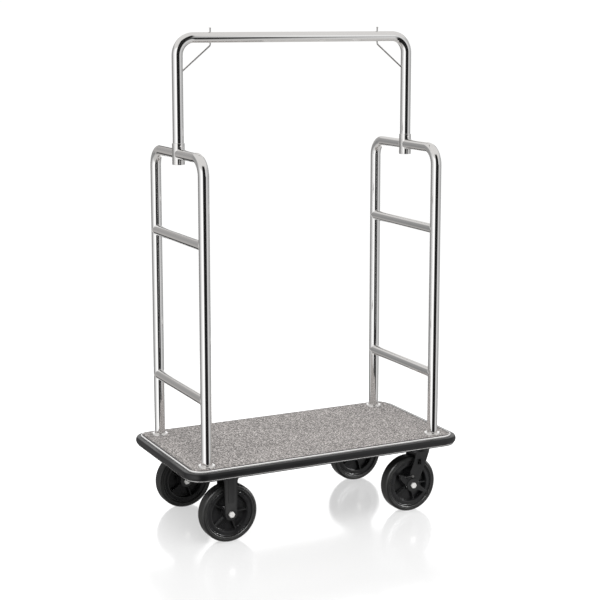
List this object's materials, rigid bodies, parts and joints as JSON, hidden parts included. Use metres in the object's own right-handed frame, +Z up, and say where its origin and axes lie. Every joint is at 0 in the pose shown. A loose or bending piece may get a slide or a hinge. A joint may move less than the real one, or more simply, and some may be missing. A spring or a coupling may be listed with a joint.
{
  "type": "hotel luggage cart",
  "caption": "Four-post hotel luggage cart: tube hoops with side rungs, a garment rail above, a carpeted deck with a rubber bumper, and rigid and swivel casters with a foot brake.",
  "frame": {"origin": "on the floor under the middle of the deck", "axes": "+X along the deck towards the swivel casters, +Y across the deck, +Z up; the side with the foot brake faces -Y"},
  "size_m": [1.078, 0.582, 1.761],
  "materials": {
    "chrome_tube": "polished",
    "chrome_fitting": "polished",
    "edge_metal": "satin",
    "bumper_rubber": "satin",
    "carpet": "looped pile, heathered",
    "board": "plain plywood",
    "frame_steel": "satin",
    "fork_paint": "satin, slightly textured",
    "zinc_steel": "bright zinc",
    "tyre_rubber": "matte",
    "rim_plastic": "satin"
  },
  "bodies": {
    "chassis": {"deck_board": "board", "carpet": "carpet", "edge_channel": "edge_metal", "bumper": "bumper_rubber", "bumper_trim": "edge_metal", "cross_channels": "frame_steel", "stiffeners": "frame_steel", "hoop_left_front": "chrome_tube", "hoop_left_rear": "chrome_tube", "hoop_right_front": "chrome_tube", "hoop_right_rear": "chrome_tube", "rung_left_low": "chrome_tube", "rung_left_high": "chrome_tube", "rung_right_low": "chrome_tube", "rung_right_high": "chrome_tube", "socket_left": "chrome_fitting", "socket_right": "chrome_fitting", "garment_rail": "chrome_tube", "garment_hook_left": "chrome_fitting", "garment_hook_right": "chrome_fitting", "foot_flanges": "chrome_fitting", "post_plugs": "frame_steel", "post_bolts": "zinc_steel", "socket_screws": "zinc_steel", "plate_bolts": "zinc_steel", "plate_nuts": "zinc_steel", "rigid_fork_front": "fork_paint", "rigid_fork_rear": "fork_paint", "rigid_axle_bolts": "zinc_steel", "rigid_axle_nuts": "zinc_steel", "rigid_spacers": "zinc_steel", "swivel_plate_front": "fork_paint", "swivel_plate_rear": "fork_paint", "kingpins": "zinc_steel"},
    "wheel_left_front": {"tyre_left_front": "tyre_rubber", "rim_left_front": "rim_plastic", "bearings_left_front": "zinc_steel"},
    "wheel_left_rear": {"tyre_left_rear": "tyre_rubber", "rim_left_rear": "rim_plastic", "bearings_left_rear": "zinc_steel"},
    "caster_right_front": {"swivel_fork_front": "fork_paint", "swivel_balls_front": "zinc_steel", "swivel_axle_bolt_front": "zinc_steel", "swivel_axle_nut_front": "zinc_steel", "swivel_spacer_front": "zinc_steel", "brake_pin": "zinc_steel"},
    "caster_right_rear": {"swivel_fork_rear": "fork_paint", "swivel_balls_rear": "zinc_steel", "swivel_axle_bolt_rear": "zinc_steel", "swivel_axle_nut_rear": "zinc_steel", "swivel_spacer_rear": "zinc_steel"},
    "wheel_right_front": {"tyre_right_front": "tyre_rubber", "rim_right_front": "rim_plastic", "bearings_right_front": "zinc_steel"},
    "wheel_right_rear": {"tyre_right_rear": "tyre_rubber", "rim_right_rear": "rim_plastic", "bearings_right_rear": "zinc_steel"},
    "brake_pedal": {"brake_pedal": "fork_paint"},
    "brake_shoe": {"brake_shoe": "zinc_steel"},
    "brake_wire": {"brake_wire": "zinc_steel"}
  },
  "joints": [
    {"name": "wheel_left_front_roll", "type": "hinge", "parent": "chassis", "child": "wheel_left_front", "pos_m": [-0.367, -0.204, 0.104], "axis": [0, 1, 0], "continuous": true},
    {"name": "wheel_left_rear_roll", "type": "hinge", "parent": "chassis", "child": "wheel_left_rear", "pos_m": [-0.367, 0.204, 0.104], "axis": [0, 1, 0], "continuous": true},
    {"name": "caster_right_front_swivel", "type": "hinge", "parent": "chassis", "child": "caster_right_front", "pos_m": [0.402, -0.204, 0.224], "axis": [0, 0, 1], "continuous": true},
    {"name": "caster_right_rear_swivel", "type": "hinge", "parent": "chassis", "child": "caster_right_rear", "pos_m": [0.402, 0.204, 0.224], "axis": [0, 0, 1], "continuous": true},
    {"name": "wheel_right_front_roll", "type": "hinge", "parent": "caster_right_front", "child": "wheel_right_front", "pos_m": [0.357, -0.204, 0.104], "axis": [0, 1, 0], "continuous": true},
    {"name": "wheel_right_rear_roll", "type": "hinge", "parent": "caster_right_rear", "child": "wheel_right_rear", "pos_m": [0.357, 0.204, 0.104], "axis": [0, 1, 0], "continuous": true},
    {"name": "brake_pedal_turn", "type": "hinge", "parent": "caster_right_front", "child": "brake_pedal", "pos_m": [0.357, -0.204, 0.104], "axis": [0, -1, 0], "range_deg": [0, 25]},
    {"name": "brake_shoe_press", "type": "slide", "parent": "caster_right_front", "child": "brake_shoe", "axis": [0, 1, 0], "range_m": [0, 0.002]},
    {"name": "brake_wire_turn", "type": "hinge", "parent": "caster_right_front", "child": "brake_wire", "pos_m": [0.357, -0.204, 0.137], "axis": [0, -1, 0], "range_deg": [0, 37.5]}
  ],
  "couplings": [
    {"joint": "brake_shoe_press", "follows": "brake_pedal_turn", "m_per_rad": 0.0045837},
    {"joint": "brake_wire_turn", "follows": "brake_pedal_turn", "ratio": 1.5}
  ]
}
